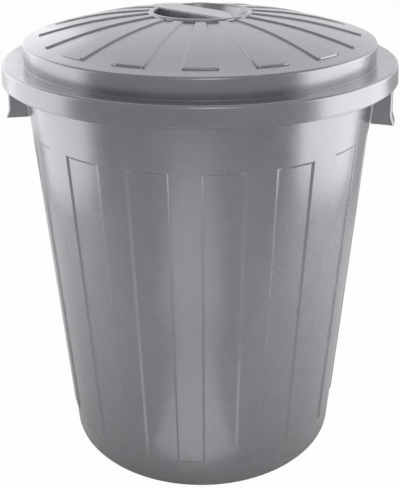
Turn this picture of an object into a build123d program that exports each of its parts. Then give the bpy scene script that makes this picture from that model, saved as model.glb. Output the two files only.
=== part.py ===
from build123d import *
from math import cos, degrees, hypot, radians, sin, tan
import os

# A round plastic dustbin of the nominal 75 litre size: a fluted tub with a pair of moulded
# side handles, and a loose lid with a finger cup and a grip bar across it. Millimetres, +Z up,
# the origin in the middle of the base. The side handles lie on the X axis.

# Walls and fits
tub_wall = 2.5
lid_wall = 2.5
floor_wall = 3.0
rest_gap = 0.3  # between the rim and the lid that lies on it
skirt_gap = 1.5  # between the rim's outer edge and the skirt of the lid

# Body of the tub: a cone that widens upward
base_radius = 194.6
body_draft = 3.28
rim_height = 545.15  # the rim's top, at its outer edge
base_edge = 5.0
foot_width = 18.0  # the ring that the tub stands on
floor_lift = 6.0

# Flutes: the body is sunk between upright ribs, up to a plain band below the rim
rib_count = 16
rib_half_angle = 4.64
rib_flank = 2.5  # how far a rib's sloped side runs out
flute_depth = 1.9
rib_foot = 46.7
band_height = 82.55  # from the flutes' upper ends to the rim's top
rib_root = 1.0  # how far a rib is sunk into the body behind it

# Rim: an upside-down channel round the mouth
rim_width = 22.66
rim_drop = 23.5
rim_draft = 3.2
ledge_slope = 5.0  # rim and lid fall towards the middle

# Side handles: a curved plate below the rim, closed at both ends and open underneath
handle_half_angle = 13.04
handle_drop = 47.65  # below the rim's foot
handle_flare = 2.5
handle_wall = 3.0
handle_step = 0.4  # the plate lies this far inside the rim's edge
handle_corner = 4.0
lip_height = 10.0
lip_reach = 4.0

# Lid: skirt, ledge, step and a shallow cone up to the ring of the finger cup
skirt_height = 22.8
skirt_draft = 5.2
skirt_edge = 2.0
step_height = 24.4
step_draft = 0.5
step_edge = 2.5
dome_slope = 10.1
lid_rib_count = 16
lid_rib_height = 2.0
lid_rib_half_angle = 5.24
lid_rib_margin = 19.73  # from a rib's outer end to the step
lid_turn = 4.62  # how far the loose lid is turned on the rim

# Finger cup and grip bar
ring_radius = 65.8
ring_height = 3.4
ring_edge = 1.8
ring_width = 6.3
cup_depth = 32.0
cup_draft = 19.77
bar_half_width = 19.5
bar_draft = 3.0
bar_turn = -45.0  # from the lid's first rib, about Z
bar_nose_start = 8.0  # along the bar, where one side starts to round off
bar_nose_offset = 7.0  # across the bar, where that round meets the ring
grip_edge = 1.2

through = 1.0  # how far a cutting shape runs past the face that it cuts


def slope(angle):
    """Rise for each unit of run."""
    return tan(radians(angle))


# Sizes that follow
mouth_radius = base_radius + rim_height * slope(body_draft) - tub_wall
band_foot = rim_height - band_height
rim_radius = mouth_radius + rim_width
rim_foot = rim_height - rim_drop
handle_foot = rim_foot - handle_drop
rim_foot_radius = rim_radius + rim_drop * slope(rim_draft)
rim_roof = tub_wall / cos(radians(ledge_slope))  # the rim's wall, measured upright
lid_radius = rim_radius + skirt_gap + lid_wall
step_radius = mouth_radius


def body_radius(z):
    """Outer radius of the body over its ribs and its band, at a height."""
    return base_radius + z * slope(body_draft)


def rim_top(radius):
    """Height of the rim's top, which falls towards the middle."""
    return rim_height - (rim_radius - radius) * slope(ledge_slope)


def ledge_top(radius):
    """Height of the lid's ledge, which lies on the rim with rest_gap under it."""
    return rim_top(radius) + rest_gap + lid_wall / cos(radians(ledge_slope))


skirt_foot = ledge_top(lid_radius) - skirt_height
skirt_foot_radius = lid_radius + skirt_height * slope(skirt_draft)
step_foot = ledge_top(step_radius)
step_top = step_foot + step_height
step_top_radius = step_radius - step_height * slope(step_draft)
lid_rib_end_radius = step_top_radius - lid_rib_margin
dome_roof = lid_wall / cos(radians(dome_slope))  # the cone's wall, measured upright


def dome_top(radius):
    """Height of the lid's cone between its ribs."""
    return step_top + (step_top_radius - radius) * slope(dome_slope)


def dome_under(radius):
    """Height of the cone's underside between its ribs."""
    return dome_top(radius) - dome_roof


ring_top = dome_top(ring_radius) + ring_height
cup_radius = ring_radius - ring_width
cup_floor = ring_top - cup_depth


def outline(points):
    """A face in the XZ plane through (radius, height) points."""
    return make_face(Plane.XZ * Polyline(*points, close=True))


def turned(points, eased=()):
    """A solid of revolution about Z, some corners of its outline eased by a bevel."""
    face = outline(points)
    for (radius, height), bevel in eased:
        corner = face.vertices().sort_by_distance(Vector(radius, 0, height))[0]
        face = chamfer(corner, bevel)
    return revolve(face, Axis.Z)


def sector(points, half_angle):
    """Part of a solid of revolution, reaching as far on both sides of the X axis."""
    return Rot(0, 0, -half_angle) * revolve(outline(points), Axis.Z, revolution_arc=2 * half_angle)


def around(piece, count):
    """Copies of a piece, evenly spaced about Z."""
    return [Rot(0, 0, 360 / count * i) * piece for i in range(count)]


def rib_slice(radius, depth, half_angle, flank, z):
    """A level slice of an upright rib: an arc, sloped flanks, and a root behind the arc."""
    root_radius = radius - depth
    root_angle = half_angle + degrees(flank / radius)

    def at(r, angle):
        return (r * cos(radians(angle)), r * sin(radians(angle)), z)

    return make_face([
        ThreePointArc(at(radius, -half_angle), at(radius, 0), at(radius, half_angle)),
        Line(at(radius, half_angle), at(root_radius, root_angle)),
        ThreePointArc(at(root_radius, root_angle), at(root_radius, 0), at(root_radius, -root_angle)),
        Line(at(root_radius, -root_angle), at(radius, -half_angle)),
    ])


def fluted_form(inset, foot, head):
    """The tub's ribbed cone, every face moved inward by inset, from foot to head."""
    band = band_foot + inset
    lean = slope(body_draft)
    core_radius = base_radius - flute_depth - inset
    core_foot = (core_radius + foot * lean, foot)
    core = turned(
        [(0, foot), core_foot, (core_radius + band * lean, band), (0, band)],
        [(core_foot, base_edge)],
    )
    plain_band = turned([
        (0, band),
        (body_radius(band) - inset, band),
        (body_radius(head) - inset, head),
        (0, head),
    ])
    depth = flute_depth + rib_root
    flank = rib_flank * depth / flute_depth
    # A corner that moves inward also moves along the face, by the tangent of half its turn
    flank_turn = flute_depth / (rib_flank + hypot(rib_flank, flute_depth))
    half_angle = rib_half_angle - degrees(inset * flank_turn / body_radius(rib_foot))
    rib = loft(
        [rib_slice(body_radius(z) - inset, depth, half_angle, flank, z) for z in (rib_foot + inset, band)],
        ruled=True,
    )
    return core + plain_band + around(rib, rib_count)


def make_rim():
    """The upside-down channel that the lid lies on."""
    channel_radius = rim_radius - tub_wall
    inner_radius = mouth_radius - through
    return turned([
        (inner_radius, rim_top(inner_radius)),
        (rim_radius, rim_height),
        (rim_foot_radius, rim_foot),
        (rim_foot_radius - tub_wall, rim_foot),
        (channel_radius, rim_top(channel_radius) - rim_roof),
        (inner_radius, rim_top(inner_radius) - rim_roof),
    ])


def from_axis(edge):
    """Distance of an edge's middle from the Z axis."""
    middle = edge.position_at(0.5)
    return hypot(middle.X, middle.Y)


def make_handle():
    """One side handle, on +X: a flared plate with a web at each end that runs into the body."""
    plate_top_radius = rim_foot_radius - handle_step
    lip_top = handle_foot + lip_height
    knee = (plate_top_radius + (rim_foot - lip_top) * slope(handle_flare), lip_top)
    roof = rim_top(rim_radius) - tub_wall
    seat = body_radius(band_foot) - tub_wall / 2
    block = sector(
        [
            (seat, handle_foot),
            (knee[0] + lip_reach, handle_foot),
            knee,
            (plate_top_radius, rim_foot),
            (rim_radius - tub_wall / 2, roof),
            (seat, roof),
        ],
        handle_half_angle,
    )
    pocket = sector(
        [
            (seat - through, handle_foot - through),
            (knee[0] + lip_reach * (1 + through / lip_height) - handle_wall, handle_foot - through),
            (knee[0] - handle_wall, lip_top),
            (plate_top_radius - handle_wall, rim_foot),
            (plate_top_radius - handle_wall, roof + through),
            (seat - through, roof + through),
        ],
        handle_half_angle - degrees(handle_wall / plate_top_radius),
    )
    outer_edges = [edge for edge in block.edges() if from_axis(edge) > (seat + plate_top_radius) / 2]
    upright = [edge for edge in outer_edges if edge.bounding_box().size.Z > handle_corner]
    return fillet(upright, handle_corner) - pocket


def make_tub():
    """The tub: one moulding with its rim and both side handles."""
    handles = around(make_handle(), 2)
    outer = fluted_form(0, 0, rim_top(mouth_radius) - rim_roof / 2)
    inner = fluted_form(tub_wall, floor_wall, rim_height + through)
    foot_inner = base_radius - flute_depth - base_edge - foot_width
    base_recess = Pos(0, 0, floor_lift / 2) * Cylinder(foot_inner, floor_lift)
    lift = turned([
        (0, 0),
        (foot_inner + floor_wall, 0),
        (foot_inner + floor_wall, floor_lift + floor_wall),
        (0, floor_lift + floor_wall),
    ])
    shell = outer + handles + make_rim()
    return shell - inner + lift - base_recess


def lid_form():
    """The lid as a solid body of revolution, from the skirt's foot to the top of the ring."""
    skirt_top = (lid_radius, ledge_top(lid_radius))
    step_high = (step_top_radius, step_top)
    ring_brow = (ring_radius, ring_top)
    return turned(
        [
            (0, skirt_foot),
            (skirt_foot_radius, skirt_foot),
            skirt_top,
            (step_radius, step_foot),
            step_high,
            (ring_radius, dome_top(ring_radius)),
            ring_brow,
            (0, ring_top),
        ],
        [(skirt_top, skirt_edge), (step_high, step_edge), (ring_brow, ring_edge)],
    )


def lid_hollow():
    """The space under the lid, one wall inside lid_form."""
    skirt_inner = lid_radius - lid_wall
    step_inner = step_radius - lid_wall
    shoulder = step_top_radius - lid_wall
    ring_inner = ring_radius - lid_wall
    skirt_slope = slope(skirt_draft)
    foot = skirt_foot - through
    return turned([
        (0, foot),
        (skirt_foot_radius - lid_wall + through * skirt_slope, foot),
        (skirt_inner, rim_top(skirt_inner) + rest_gap),
        (step_inner, rim_top(step_inner) + rest_gap),
        (shoulder, dome_under(shoulder)),
        (ring_inner, dome_under(ring_inner)),
        (ring_inner, ring_top - lid_wall),
        (0, ring_top - lid_wall),
    ])


def lid_rib(lift, inner_radius, outer_radius, half_angle, root):
    """One radial rib on +X: it stands lift above the cone and reaches root below it."""
    return sector(
        [
            (inner_radius, dome_top(inner_radius) - root),
            (outer_radius, dome_top(outer_radius) - root),
            (outer_radius, dome_top(outer_radius) + lift),
            (inner_radius, dome_top(inner_radius) + lift),
        ],
        half_angle,
    )


def cup_form(inset, head):
    """The finger cup as a solid, every face moved inward by inset, up to head."""
    lean = slope(cup_draft)
    foot = cup_floor + inset
    wall_shift = inset * hypot(lean, 1)

    def radius(z):
        return cup_radius - (ring_top - z) * lean - wall_shift

    return turned([(0, foot), (radius(foot), foot), (radius(head), head), (0, head)])


def bar_form(inset, foot, head, reach):
    """The grip bar along X as a solid: straight on one side, with a rounded nose on the other."""
    half_width = bar_half_width - inset
    nose_end = (cup_radius**2 - bar_nose_offset**2) ** 0.5
    nose_side = -bar_nose_offset - inset
    flat_side = Polyline(
        (bar_nose_start, half_width),
        (-reach, half_width),
        (-reach, -half_width),
        (reach, -half_width),
        (reach, nose_side),
        (nose_end, nose_side),
    )
    nose = TangentArc((bar_nose_start, half_width), (nose_end, nose_side), tangent=(1, 0))
    plan = make_face([flat_side, nose])
    return Pos(0, 0, head) * extrude(plan, foot - head, taper=-bar_draft)


def make_lid():
    """The lid: one moulding, with its ribs, the ring, the finger cup and the grip bar."""
    groove_half_angle = lid_rib_half_angle - degrees(lid_wall / lid_rib_end_radius)
    rib = lid_rib(
        lid_rib_height,
        ring_radius - lid_wall,
        lid_rib_end_radius,
        lid_rib_half_angle,
        lid_wall / 2,
    )
    groove = lid_rib(
        lid_rib_height - dome_roof,
        ring_radius - lid_wall - through,
        lid_rib_end_radius - lid_wall,
        groove_half_angle,
        dome_roof + through,
    )
    shell = lid_form() + around(rib, lid_rib_count) - lid_hollow() - around(groove, lid_rib_count)
    bar_angle = Rot(0, 0, bar_turn)
    cup_wall = cup_form(-lid_wall, ring_top - lid_wall / 2)
    bar = bar_form(0, cup_floor - through, ring_top + through, cup_radius + lid_wall)
    wells = cup_form(0, ring_top + through) - bar_angle * bar
    core = bar_form(lid_wall, cup_floor - 2 * lid_wall, ring_top - lid_wall, cup_radius + lid_wall)
    lid = shell + cup_wall - wells - bar_angle * core
    top_edges = lid.edges().group_by(Axis.Z)[-1]
    grip_edges = [edge for edge in top_edges if from_axis(edge) < cup_radius + grip_edge]
    return Rot(0, 0, lid_turn) * chamfer(grip_edges, grip_edge)


def main():
    os.makedirs("parts", exist_ok=True)
    for name, piece in (("tub", make_tub()), ("lid", make_lid())):
        export_step(piece, f"parts/{name}.step")


main()
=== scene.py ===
from math import acos, atan2, cos, hypot, pi, radians, sin, sqrt, tan

import bmesh
import bpy
from mathutils import Matrix, Vector


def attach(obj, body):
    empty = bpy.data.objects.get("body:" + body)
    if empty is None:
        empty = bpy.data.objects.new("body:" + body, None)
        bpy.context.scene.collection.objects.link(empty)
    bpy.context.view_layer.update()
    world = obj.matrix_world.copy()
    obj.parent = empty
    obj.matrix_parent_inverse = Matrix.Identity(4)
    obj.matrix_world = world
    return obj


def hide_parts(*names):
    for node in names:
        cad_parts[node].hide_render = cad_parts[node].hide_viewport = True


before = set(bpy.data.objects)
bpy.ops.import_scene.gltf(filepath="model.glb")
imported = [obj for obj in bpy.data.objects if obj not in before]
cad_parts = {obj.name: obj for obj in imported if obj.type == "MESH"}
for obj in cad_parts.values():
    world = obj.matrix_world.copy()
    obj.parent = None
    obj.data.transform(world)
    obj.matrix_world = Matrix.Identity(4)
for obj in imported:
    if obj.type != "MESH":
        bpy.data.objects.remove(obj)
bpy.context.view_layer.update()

# A round plastic dustbin: a ribbed tub with two side handles and a loose lid with a grip bar.
# Metres, +Z up, the origin in the middle of the base. Each moulding is made as
# the sheet of its outer face, which then gets its wall and its rounded edges.

mm = 0.001
scene = bpy.context.scene

# Walls and fits
tub_wall = 2.5 * mm
lid_wall = 2.5 * mm
handle_wall = 3.0 * mm
rest_gap = 0.3 * mm
skirt_gap = 1.5 * mm

# Body of the tub
base_radius = 194.6 * mm
body_draft = 3.28
body_lean = tan(radians(body_draft))
rim_height = 545.15 * mm
foot_ring_radius = 169.7 * mm
floor_lift = 6.0 * mm
ribs = 16
rib_pitch = 2 * pi / ribs
rib_half_angle = radians(4.64)
rib_flank = 2.5 * mm
flute_depth = 1.9 * mm
rib_foot = 45.6 * mm
flute_head = 461.6 * mm

# Rim
rim_width = 22.66 * mm
rim_drop = 23.5 * mm
rim_lean = tan(radians(3.2))
ledge_lean = tan(radians(5.0))

# Side handles
handle_half_angle = radians(13.04)
handle_drop = 47.65 * mm
handle_lean = tan(radians(2.5))
handle_step = 0.4 * mm
lip_height = 10.0 * mm
lip_reach = 4.0 * mm
web_flange = radians(1.6)
web_stand = 0.15 * mm
web_sink = 0.35 * mm

# Lid
skirt_height = 22.8 * mm
skirt_lean = tan(radians(5.2))
step_height = 24.4 * mm
step_lean = tan(radians(0.5))
dome_lean = tan(radians(10.1))
dome_crown = 4.0 * mm
lid_rib_height = 1.7 * mm
lid_rib_flank = 1.1 * mm
lid_rib_half_angle = radians(5.24)
lid_rib_margin = 19.73 * mm
lid_turn = radians(4.62)

# Finger cup and grip bar
ring_radius = 65.8 * mm
ring_height = 3.4 * mm
ring_width = 6.3 * mm
cup_depth = 32.0 * mm
cup_floor_radius = 48.0 * mm
bar_half_width = 19.5 * mm
bar_widening = 1.7 * mm
bar_turn = radians(-45.0)
nose_start = 8.0 * mm
nose_offset = 7.0 * mm
nose_shoulder = 2.6 * mm
nose_steps = 24

# Rounds. An edge is given by how far from it its round starts, and a round by its radius, which
# with some goes along with the angle that it turns through
widest_round = 8.0 * mm
free_edge = 0.8 * mm
rib_edge = 0.5 * mm
mouth_edge = 1.8 * mm
channel_edge = 1.6 * mm
base_round = 7.0 * mm
foot_edge = 1.5 * mm
floor_edge = 2.0 * mm
plate_round = 4.5 * mm
web_edge = 4.0 * mm
knee_round = 12.0 * mm
knee_turn = radians(19.3)
lid_rib_edge = 0.42 * mm
ring_foot_edge = 0.5 * mm
ring_round = 2.2 * mm
well_round = 5.0 * mm
well_turn = radians(75)
bar_edge = 1.5 * mm
step_round = 4.0 * mm
step_turn = radians(79.4)
step_foot_round = 0.7 * mm
step_foot_turn = radians(85)
skirt_round = 4.2 * mm

# Sizes that follow
mouth_radius = base_radius + rim_height * body_lean - tub_wall
rim_radius = mouth_radius + rim_width
rim_foot = rim_height - rim_drop
rim_foot_radius = rim_radius + rim_drop * rim_lean
lid_radius = rim_radius + skirt_gap + lid_wall
cup_radius = ring_radius - ring_width


def rim_top(radius):
    return rim_height - (rim_radius - radius) * ledge_lean


def ledge_top(radius):
    return rim_top(radius) + rest_gap + lid_wall * hypot(1, ledge_lean)


def flute_radius(height):
    return base_radius - flute_depth + height * body_lean


skirt_foot = ledge_top(lid_radius) - skirt_height
skirt_foot_radius = lid_radius + skirt_height * skirt_lean
step_top = ledge_top(mouth_radius) + step_height
step_top_radius = mouth_radius - step_height * step_lean
lid_rib_end = step_top_radius - lid_rib_margin


def dome_top(radius):
    """The cone's height at a radius: it is crowned a little where it has ribs."""
    inward = max(0, (lid_rib_end - radius) / (lid_rib_end - ring_radius))
    return step_top + (step_top_radius - radius) * dome_lean + dome_crown * sin(pi * inward)


ring_top = dome_top(ring_radius) + ring_height


def new_sheet():
    """An empty sheet whose edges can be marked for a round."""
    bm = bmesh.new()
    bm.edges.layers.float.new("bevel_weight_edge")
    return bm


def wire(bm, points):
    """An open line of edges through (radius, height) points, on the XZ plane."""
    verts = [bm.verts.new((radius, 0, height)) for radius, height in points]
    return verts + [bm.edges.new(pair) for pair in zip(verts, verts[1:])]


def turn(bm, geom, angle, steps, copies=False):
    """Spins geometry about Z, by extruding it or by copying it."""
    spun = bmesh.ops.spin(bm, geom=geom, cent=(0, 0, 0), axis=(0, 0, 1), dvec=(0, 0, 0), angle=angle,
                          steps=steps, use_merge=False, use_duplicate=copies)
    return spun["geom_last"]


def ribbed_round(bm, points, rib_angle, rib_columns, flute_columns):
    """A line turned about Z, in columns of faces that end at the sides of each rib."""
    line = wire(bm, points)
    start = [part for part in line if isinstance(part, bmesh.types.BMVert)]
    bmesh.ops.rotate(bm, verts=start, cent=(0, 0, 0), matrix=Matrix.Rotation(-rib_angle, 3, "Z"))
    last = turn(bm, line, 2 * rib_angle, rib_columns)
    turn(bm, last, rib_pitch - 2 * rib_angle, flute_columns)
    turn(bm, bm.verts[:] + bm.edges[:] + bm.faces[:], 2 * pi - rib_pitch, ribs - 1, copies=True)
    bmesh.ops.remove_doubles(bm, verts=bm.verts[:], dist=0.01 * mm)


def polar(point):
    """Radius and height of a point, and its angle from the nearest rib's middle."""
    angle = atan2(point.y, point.x) % rib_pitch
    return hypot(point.x, point.y), point.z, min(angle, rib_pitch - angle)


def face_up(bm, outward):
    """Turns an open sheet so that its outer side is the moulding's face."""
    bmesh.ops.recalc_face_normals(bm, faces=bm.faces[:])
    if sum(outward(face) * face.calc_area() for face in bm.faces) < 0:
        bmesh.ops.reverse_faces(bm, faces=bm.faces[:])


def raise_region(bm, faces, flank, depth):
    """Raises faces by depth on sloped flanks. Gives the edges at the foot and the top of the flanks."""
    flanks = set(bmesh.ops.inset_region(
        bm, faces=faces, use_boundary=False, use_even_offset=True, thickness=flank, depth=depth
    )["faces"])
    return [edge for edge in bm.edges
            if len(edge.link_faces) == 2 and sum(face in flanks for face in edge.link_faces) == 1]


def open_edges(bm, radius):
    """The open edges of a sheet that lie nearest to a radius from Z."""
    edges = [edge for edge in bm.edges if edge.is_boundary]
    near = min(abs(hypot(*edge.verts[0].co.xy) - radius) for edge in edges)
    return [edge for edge in edges
            if all(abs(hypot(*v.co.xy) - radius) < near + 4 * mm for v in edge.verts)]


def extend(bm, edges, radius, height):
    """Extrudes a round open edge to a level ring of a radius and a height."""
    out = bmesh.ops.extrude_edge_only(bm, edges=edges)["geom"]
    verts = [part for part in out if isinstance(part, bmesh.types.BMVert)]
    for vert in verts:
        vert.co = (vert.co.xy.normalized() * radius).to_3d() + Vector((0, 0, height))
    return [part for part in out if isinstance(part, bmesh.types.BMEdge)
            and all(vert in verts for vert in part.verts)]


def ease(bm, edges, width):
    """Marks edges for a round whose sides start width away from them."""
    weight = bm.edges.layers.float["bevel_weight_edge"]
    for edge in edges:
        edge[weight] = width / widest_round


def ring_edges(bm, radius, height):
    """The edges of a level ring round Z."""
    return [edge for edge in bm.edges
            if all(abs(hypot(*v.co.xy) - radius) < 0.1 * mm and abs(v.co.z - height) < 0.1 * mm
                   for v in edge.verts)]


def finished(name, bm, wall, body, node, material):
    """A piece from its sheet: wall, rounds and even shading, riding on a body in place of a node."""
    ease(bm, [edge for edge in bm.edges if edge.is_boundary], free_edge)
    mesh = bpy.data.meshes.new(name)
    bm.to_mesh(mesh)
    bm.free()
    mesh.shade_smooth()
    mesh.materials.append(material)
    made = bpy.data.objects.new(name, mesh)
    scene.collection.objects.link(made)
    skin = made.modifiers.new("wall", "SOLIDIFY")
    skin.thickness = wall
    skin.offset = -1
    skin.use_even_offset = True
    skin.use_quality_normals = True
    skin.edge_crease_rim = 0
    rounds = made.modifiers.new("rounds", "BEVEL")
    rounds.limit_method = "WEIGHT"
    rounds.width = widest_round
    rounds.segments = 4
    rounds.use_clamp_overlap = False
    made.modifiers.new("even shading", "WEIGHTED_NORMAL")
    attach(made, body)
    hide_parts(node)
    return made


def away_from_axis(face):
    return face.normal.xy.dot(face.calc_center_median().xy)


def upward(face):
    return face.normal.z


def round_cut(radius, turned_by):
    """How far from a corner a round of a radius starts."""
    return radius * tan(turned_by / 2)


class Sock:
    """A shader socket that adds a Math node when it is calculated with."""

    def __init__(self, nodes, value):
        self.nodes = nodes
        self.value = value

    def __add__(self, other):
        return self.nodes.maths("ADD", self, other)

    def __mul__(self, other):
        return self.nodes.maths("MULTIPLY", self, other)

    __radd__ = __add__
    __rmul__ = __mul__


class Nodes:
    """The nodes of a material or of the surround."""

    def __init__(self, owner):
        owner.use_nodes = True
        self.tree = owner.node_tree
        self.tree.nodes.clear()

    def node(self, kind, settings, inputs, output=0):
        made = self.tree.nodes.new(kind)
        for key, value in settings.items():
            setattr(made, key, value)
        for key, value in inputs.items():
            if isinstance(value, Sock):
                self.tree.links.new(value.value, made.inputs[key])
            else:
                made.inputs[key].default_value = value
        return Sock(self, made.outputs[output]) if made.outputs else None

    def maths(self, operation, a, b):
        return self.node("ShaderNodeMath", {"operation": operation}, {0: a, 1: b})

    def place(self, stretch=(1, 1, 1)):
        """Object coordinates, squeezed by stretch."""
        point = self.node("ShaderNodeTexCoord", {}, {}, "Object")
        return self.node("ShaderNodeMapping", {}, {"Vector": point, "Scale": stretch})

    def noise(self, scale, detail=2.0, roughness=0.5, stretch=(1, 1, 1)):
        return self.node("ShaderNodeTexNoise", {}, {
            "Vector": self.place(stretch), "Scale": scale, "Detail": detail, "Roughness": roughness})

    def between(self, factor, low, high):
        """Two colours mixed by a factor."""
        return self.node("ShaderNodeMix", {"data_type": "RGBA"}, {0: factor, 6: low, 7: high}, 2)

    def span(self, value, start, end, low=0.0, high=1.0):
        """A value from start to end mapped to low to high."""
        return self.node("ShaderNodeMapRange", {"interpolation_type": "SMOOTHSTEP"}, {
            "Value": value, "From Min": start, "From Max": end, "To Min": low, "To Max": high})

    def relief(self, height, strength, distance, under=None):
        """A Bump node on a height, over another one."""
        inputs = {"Strength": strength, "Distance": distance, "Height": height}
        if under:
            inputs["Normal"] = under
        return self.node("ShaderNodeBump", {}, inputs, "Normal")


def linear(grey, tint=(1.0, 1.0, 1.0)):
    """A screen grey of 0 to 255 as a linear colour."""
    level = ((grey / 255 + 0.055) / 1.055) ** 2.4
    return (level * tint[0], level * tint[1], level * tint[2], 1.0)


def silver_plastic(name, grey, dust_height):
    """Silver-pigmented plastic: flow marks, a fine grain, flakes, faint rubs and dust low down."""
    material = bpy.data.materials.new(name)
    nodes = Nodes(material)
    cool = (0.985, 0.98, 1.035)
    flow = nodes.noise(9.0, 3.0, 0.5, (1.0, 1.0, 0.4))
    cloud = nodes.noise(34.0, 3.0, 0.55)
    grain = nodes.noise(1500.0, 2.0, 0.6)
    flake = nodes.noise(5200.0, 1.0, 0.5)
    rub = nodes.span(nodes.noise(60.0, 6.0, 0.7, (1.0, 1.0, 0.15)), 0.52, 0.80)
    height = nodes.node("ShaderNodeSeparateXYZ", {}, {0: nodes.place()}, "Z")
    dust = nodes.span(height, dust_height, 0.0) * nodes.span(cloud, 0.40, 0.66)
    tone = nodes.span(flow * 0.6 + cloud * 0.4, 0.35, 0.65)
    colour = nodes.between(tone, linear(grey - 3, cool), linear(grey + 3, cool))
    colour = nodes.between(nodes.span(flake, 0.55, 0.80) * 0.10, colour, linear(grey + 30, cool))
    colour = nodes.between(rub * 0.10, colour, linear(grey + 14, cool))
    colour = nodes.between(dust * 0.30, colour, linear(grey - 20, (1.05, 1.0, 0.93)))
    roughness = nodes.span(cloud, 0.3, 0.7, 0.25, 0.29) + rub * 0.02 + dust * 0.12
    swell = nodes.relief(flow, 0.06, 0.6 * mm)
    skin = nodes.relief(grain, 0.05, 0.03 * mm, swell)
    surface = nodes.node("ShaderNodeBsdfPrincipled", {}, {
        "Base Color": colour, "Metallic": 0.9, "Roughness": roughness, "Normal": skin,
        "IOR": 1.5, "Coat Weight": 0.08, "Coat Roughness": 0.15}, "BSDF")
    nodes.node("ShaderNodeOutputMaterial", {}, {"Surface": surface})
    return material


tub_plastic = silver_plastic("silver tub plastic", 148, 0.12)
lid_plastic = silver_plastic("silver lid plastic", 152, 0.12)
for node, material in (("tub", tub_plastic), ("lid", lid_plastic)):
    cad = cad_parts[node]
    cad.data.materials.clear()
    cad.data.materials.append(material)


def make_tub():
    """The tub's one wall: floor, standing ring, ribbed cone, band and the channel of the rim."""
    bm = new_sheet()
    foot_flank = rib_flank / flute_radius(rim_height / 2)
    lean_angle = atan2(body_lean, 1)
    roof = rim_top(mouth_radius + tub_wall) - tub_wall * hypot(1, ledge_lean)
    ribbed_round(bm, [
        (0, floor_lift),
        (foot_ring_radius, floor_lift),
        (foot_ring_radius, 0),
        (flute_radius(0), 0),
        (flute_radius(rib_foot), rib_foot),
        (flute_radius(flute_head), flute_head),
        (flute_radius(roof), roof + flute_depth * sin(lean_angle)),
    ], rib_half_angle + foot_flank, rib_columns=6, flute_columns=8)
    face_up(bm, away_from_axis)
    raised = []
    for face in bm.faces:
        radius, height, angle = polar(face.calc_center_median())
        on_rib = rib_foot < height < flute_head and angle < rib_half_angle + foot_flank
        if on_rib or height > flute_head:
            raised.append(face)
    ease(bm, raise_region(bm, raised, rib_flank, flute_depth), rib_edge)
    mouth = open_edges(bm, mouth_radius + tub_wall)
    ease(bm, mouth, mouth_edge)
    channel_radius = rim_radius - tub_wall
    channel_roof = rim_top(channel_radius) - tub_wall * hypot(1, ledge_lean)
    brow = extend(bm, mouth, channel_radius, channel_roof)
    ease(bm, brow, channel_edge)
    extend(bm, brow, rim_foot_radius - tub_wall, rim_foot)
    ease(bm, ring_edges(bm, flute_radius(0), 0), round_cut(base_round, radians(90 - body_draft)))
    ease(bm, ring_edges(bm, foot_ring_radius, 0), foot_edge)
    ease(bm, ring_edges(bm, foot_ring_radius, floor_lift), floor_edge)
    face_up(bm, away_from_axis)
    return finished("ribbed_tub", bm, tub_wall, "tub", "tub", tub_plastic)


def make_handle(name, side):
    """A side handle: a flared plate with a lip, and a web at each end that runs into the wall."""
    bm = new_sheet()
    handle_foot = rim_foot - handle_drop
    lip_top = handle_foot + lip_height
    plate_top = rim_foot_radius - handle_step
    knee = plate_top + (rim_foot - lip_top) * handle_lean
    roof = rim_top(rim_radius) - tub_wall
    line = wire(bm, [
        (knee + lip_reach, handle_foot),
        (knee, lip_top),
        (plate_top, rim_foot),
        (rim_radius - tub_wall / 2, roof),
    ])
    start = [part for part in line if isinstance(part, bmesh.types.BMVert)]
    bmesh.ops.rotate(bm, verts=start, cent=(0, 0, 0),
                     matrix=Matrix.Rotation(-handle_half_angle, 3, "Z"))
    turn(bm, line, 2 * handle_half_angle, 16)
    bmesh.ops.remove_doubles(bm, verts=bm.verts[:], dist=0.01 * mm)
    # The webs: the plate's upright sides are drawn in to the wall and then along it
    for end in (-1, 1):
        ends = [edge for edge in bm.edges if edge.is_boundary
                and all(abs(atan2(v.co.y, v.co.x) - end * handle_half_angle) < 0.001 for v in edge.verts)]
        ease(bm, ends, round_cut(plate_round, radians(90)))
        for angle, sink, width in ((handle_half_angle, -web_stand, web_edge),
                                   (handle_half_angle + web_flange, web_sink, 0)):
            out = bmesh.ops.extrude_edge_only(bm, edges=ends)["geom"]
            verts = [part for part in out if isinstance(part, bmesh.types.BMVert)]
            ends = [part for part in out if isinstance(part, bmesh.types.BMEdge)
                    and all(v in verts for v in part.verts)]
            for vert in verts:
                radius = flute_radius(vert.co.z) + flute_depth - sink
                vert.co = (radius * cos(end * angle), radius * sin(end * angle), vert.co.z)
            if width:
                ease(bm, ends, width)
    bmesh.ops.remove_doubles(bm, verts=bm.verts[:], dist=0.01 * mm)
    face_up(bm, away_from_axis)
    knees = [edge for edge in bm.edges if all(abs(v.co.z - lip_top) < 0.1 * mm for v in edge.verts)
             and all(abs(hypot(*v.co.xy) - knee) < 0.1 * mm for v in edge.verts)]
    ease(bm, knees, round_cut(knee_round, knee_turn))
    if side < 0:
        bmesh.ops.rotate(bm, verts=bm.verts[:], cent=(0, 0, 0), matrix=Matrix.Rotation(pi, 3, "Z"))
    return finished(name, bm, handle_wall, "tub", "tub", tub_plastic)


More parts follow.
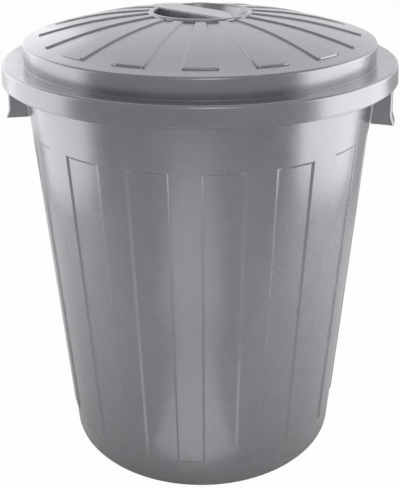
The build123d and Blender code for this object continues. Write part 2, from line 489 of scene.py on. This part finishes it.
def sink_well(bm, face, start, end, bar_side):
    """Sinks a finger well from its outline at the ring's top. start and end are the angles of its
    corners at the top and at the floor; bar_side moves a point of the bar's side out to the floor."""
    out = bmesh.ops.extrude_face_region(bm, geom=[face])["geom"]
    bmesh.ops.delete(bm, geom=[face], context="FACES_ONLY")
    for vert in [part for part in out if isinstance(part, bmesh.types.BMVert)]:
        if hypot(*vert.co.xy) > cup_radius - 0.1 * mm:
            past_start = (atan2(vert.co.y, vert.co.x) - start[0] + 0.001) % (2 * pi) - 0.001
            along = past_start / (end[0] - start[0])
            angle = start[1] + along * (end[1] - start[1])
            vert.co = (cup_floor_radius * cos(angle), cup_floor_radius * sin(angle),
                       ring_top - cup_depth)
        else:
            place = bar_side(vert.co.xy)
            vert.co = (place[0], place[1], ring_top - cup_depth)
    return next(part for part in out if isinstance(part, bmesh.types.BMFace))


def make_lid():
    """The lid's one wall: skirt, ledge, step, ribbed cone, ring, finger wells and grip bar.

    It is made with the bar along X and turned at the end."""
    bm = new_sheet()
    foot_flank = lid_rib_flank / (0.5 * (ring_radius + lid_rib_end))
    rib_length = lid_rib_end - ring_radius
    rows = [ring_radius + rib_length * i / 6 for i in range(7)]
    ribbed_round(bm, [
        *((radius, dome_top(radius)) for radius in rows),
        (step_top_radius, step_top),
        (mouth_radius, ledge_top(mouth_radius)),
        (lid_radius, ledge_top(lid_radius)),
        (skirt_foot_radius, skirt_foot),
    ], lid_rib_half_angle + foot_flank, rib_columns=6, flute_columns=6)
    face_up(bm, upward)
    raised = []
    for face in bm.faces:
        radius, height, angle = polar(face.calc_center_median())
        if radius < lid_rib_end and angle < lid_rib_half_angle + foot_flank:
            raised.append(face)
    ease(bm, raise_region(bm, raised, lid_rib_flank, lid_rib_height), lid_rib_edge)
    foot = open_edges(bm, ring_radius)
    ease(bm, foot, ring_foot_edge)
    brow = extend(bm, foot, ring_radius, ring_top)
    ease(bm, brow, round_cut(ring_round, radians(90)))
    well_edge = extend(bm, brow, cup_radius, ring_top)

    # The ring's inside is closed by one face, which is split along both sides of the bar
    cup = bmesh.ops.contextual_create(bm, geom=well_edge)["faces"][0]
    loop = [vert for vert in cup.verts]

    def corner(x, y):
        """The cup's nearest corner point, moved along the circle to the place itself."""
        near = min(loop, key=lambda vert: hypot(vert.co.x - x, vert.co.y - y))
        near.co = (x, y, ring_top)
        return near

    straight_end = sqrt(cup_radius**2 - bar_half_width**2)
    nose_end = sqrt(cup_radius**2 - nose_offset**2)
    nose_radius = hypot(nose_end - nose_start, bar_half_width + nose_offset) ** 2 / (
        2 * (bar_half_width + nose_offset))
    nose_middle = Vector((nose_start, bar_half_width - nose_radius))
    swing = atan2(nose_end - nose_start, -nose_offset - nose_middle.y)

    def nose_point(angle, radius):
        return nose_middle + radius * Vector((sin(angle), cos(angle)))

    # The nose's last step out to the circle is square to it
    nose_points = [nose_point(swing * i / nose_steps, nose_radius) for i in range(nose_steps)]
    nose_points = [point for point in nose_points if point.length < cup_radius - nose_shoulder]
    nose_corner = atan2(nose_points[-1].y, nose_points[-1].x)
    low_left = corner(-straight_end, -bar_half_width)
    low_right = corner(straight_end, -bar_half_width)
    high_left = corner(-straight_end, bar_half_width)
    high_right = corner(cup_radius * cos(nose_corner), cup_radius * sin(nose_corner))
    bmesh.utils.face_split(cup, low_left, low_right)
    upper = next(face for face in bm.faces if high_left in face.verts and high_right in face.verts)
    bmesh.utils.face_split(upper, high_left, high_right,
                           coords=[(*point, ring_top) for point in nose_points])

    floor_half = bar_half_width + bar_widening
    floor_corner = atan2(floor_half, sqrt(cup_floor_radius**2 - floor_half**2))
    straight_corner = atan2(bar_half_width, straight_end)
    # Where the nose's side, widened by the draft, meets the floor's circle
    gap = nose_middle.length
    wide = nose_radius + bar_widening
    from_middle = acos((cup_floor_radius**2 + gap**2 - wide**2) / (2 * cup_floor_radius * gap))
    nose_floor = atan2(nose_middle.y, nose_middle.x) + from_middle
    floor_end = Vector((cos(nose_floor), sin(nose_floor))) * cup_floor_radius - nose_middle
    last = nose_points[-1] - nose_middle
    drawn_in = 0.97 * atan2(floor_end.x, floor_end.y) / atan2(last.x, last.y)

    def widened(point):
        """The floor's point under a point of the bar's side."""
        if point.x <= nose_start + 0.01 * mm:
            return point.x, point.y + bar_widening
        away = point - nose_middle
        return nose_point(atan2(away.x, away.y) * drawn_in, wide)

    flat = sorted((face for face in bm.faces if len(face.verts) > 8),
                  key=lambda face: face.calc_center_bounds().y)
    low, high = flat[0], flat[-1]
    floors = (
        sink_well(bm, low, (pi + straight_corner, pi + floor_corner),
                  (2 * pi - straight_corner, 2 * pi - floor_corner), widened),
        sink_well(bm, high, (nose_corner, nose_floor), (pi - straight_corner, pi - floor_corner), widened),
    )
    for floor in floors:
        ease(bm, floor.edges, round_cut(well_round, well_turn))
    sides = {edge for edge in bm.edges if all(abs(v.co.z - ring_top) < 0.01 * mm for v in edge.verts)
             and any(face.normal.z < 0.5 for face in edge.link_faces)
             and all(hypot(*v.co.xy) < cup_radius + 0.1 * mm for v in edge.verts)}
    ease(bm, sides, bar_edge)
    ease(bm, ring_edges(bm, step_top_radius, step_top), round_cut(step_round, step_turn))
    ease(bm, ring_edges(bm, mouth_radius, ledge_top(mouth_radius)),
         round_cut(step_foot_round, step_foot_turn))
    ease(bm, ring_edges(bm, lid_radius, ledge_top(lid_radius)), round_cut(skirt_round, radians(90)))
    bmesh.ops.recalc_face_normals(bm, faces=bm.faces[:])
    face_up(bm, upward)
    bmesh.ops.rotate(bm, verts=bm.verts[:], cent=(0, 0, 0),
                     matrix=Matrix.Rotation(bar_turn + lid_turn, 3, "Z"))
    return finished("ribbed_lid", bm, lid_wall, "lid", "lid", lid_plastic)


make_tub()
make_handle("right_handle", 1)
make_handle("left_handle", -1)
make_lid()


def place_camera():
    """The photograph's viewpoint."""
    lens = bpy.data.cameras.new("camera")
    lens.lens = 58.834
    lens.sensor_width = 36.0
    lens.shift_x = -0.0377
    lens.shift_y = -0.00553
    lens.clip_start = 0.05
    lens.clip_end = 50.0
    camera = bpy.data.objects.new("camera", lens)
    camera.matrix_world = (
        Matrix.Translation((0.0855147, -1.0306629, 0.7677897))
        @ Matrix.Rotation(radians(3.4424), 4, "Z")
        @ Matrix.Rotation(radians(64.743), 4, "X")
        @ Matrix.Rotation(radians(0.1866), 4, "Z")
    )
    scene.collection.objects.link(camera)
    scene.camera = camera


def soft_panel(name, place, aim, width, height, power):
    """A large soft lamp at a place, turned to a point. The camera doesn't see it."""
    lamp = bpy.data.lights.new(name, "AREA")
    lamp.shape = "RECTANGLE"
    lamp.size = width
    lamp.size_y = height
    lamp.energy = power
    panel = bpy.data.objects.new(name, lamp)
    panel.location = place
    panel.rotation_euler = (Vector(aim) - Vector(place)).to_track_quat("-Z", "Y").to_euler()
    panel.visible_camera = False
    scene.collection.objects.link(panel)


def make_studio():
    """A white floor that keeps the shadow, a surround that is brighter at the back, and soft lamps."""
    bm = bmesh.new()
    bmesh.ops.create_circle(bm, cap_ends=True, segments=96, radius=6.0)
    bmesh.ops.translate(bm, verts=bm.verts[:], vec=(0, 0, -0.2 * mm))
    mesh = bpy.data.meshes.new("floor")
    bm.to_mesh(mesh)
    bm.free()
    floor = bpy.data.objects.new("floor", mesh)
    scene.collection.objects.link(floor)
    paper = bpy.data.materials.new("floor paper")
    nodes = Nodes(paper)
    colour = nodes.between(nodes.noise(40.0), (0.79, 0.79, 0.79, 1), (0.82, 0.82, 0.82, 1))
    matt = nodes.node("ShaderNodeBsdfDiffuse", {}, {"Color": colour}, "BSDF")
    glow = nodes.node("ShaderNodeEmission", {}, {"Color": (1, 1, 1, 1), "Strength": 1.0}, "Emission")
    seen = nodes.node("ShaderNodeLightPath", {}, {}, "Is Camera Ray") * 0.96
    both = nodes.node("ShaderNodeMixShader", {}, {0: seen, 1: matt, 2: glow})
    nodes.node("ShaderNodeOutputMaterial", {}, {"Surface": both})
    mesh.materials.append(paper)

    world = bpy.data.worlds.new("surround")
    scene.world = world
    nodes = Nodes(world)
    direction = nodes.node("ShaderNodeTexCoord", {}, {}, "Generated")
    back = nodes.span(nodes.node("ShaderNodeSeparateXYZ", {}, {0: direction}, "Y"), 0.25, 0.85)
    around = nodes.node("ShaderNodeBackground", {}, {
        "Color": (1.0, 1.0, 1.02, 1), "Strength": back * 0.60 + 0.51}, "Background")
    white = nodes.node("ShaderNodeBackground", {}, {
        "Color": (1, 1, 1, 1), "Strength": 1.0}, "Background")
    seen = nodes.node("ShaderNodeLightPath", {}, {}, "Is Camera Ray")
    both = nodes.node("ShaderNodeMixShader", {}, {0: seen, 1: around, 2: white})
    nodes.node("ShaderNodeOutputWorld", {}, {"Surface": both})

    soft_panel("left panel", (-0.85, 0, 0.54), (0, 0, 0.5), 0.9, 1.0, 3.8)
    soft_panel("right panel", (0.85, 0, 0.55), (0, 0, 0.5), 0.9, 1.0, 5.4)
    soft_panel("left back panel", (-0.8, 0.75, 0.6), (0, 0, 0.5), 0.8, 1.0, 1.6)
    soft_panel("edge lamp", (0.3, -1.6, 2.0), (0, 0, 0.5), 0.5, 0.5, 2.5)
    soft_panel("near floor strip", (0.0, -0.38, 0.01), (0.0, -0.379, 1.0), 0.18, 0.3, 0.06)
    soft_panel("far floor strip", (-0.02, -0.85, 0.01), (-0.02, -0.849, 1.0), 0.42, 0.6, 0.32)


make_studio()
place_camera()
scene.view_settings.view_transform = "Standard"
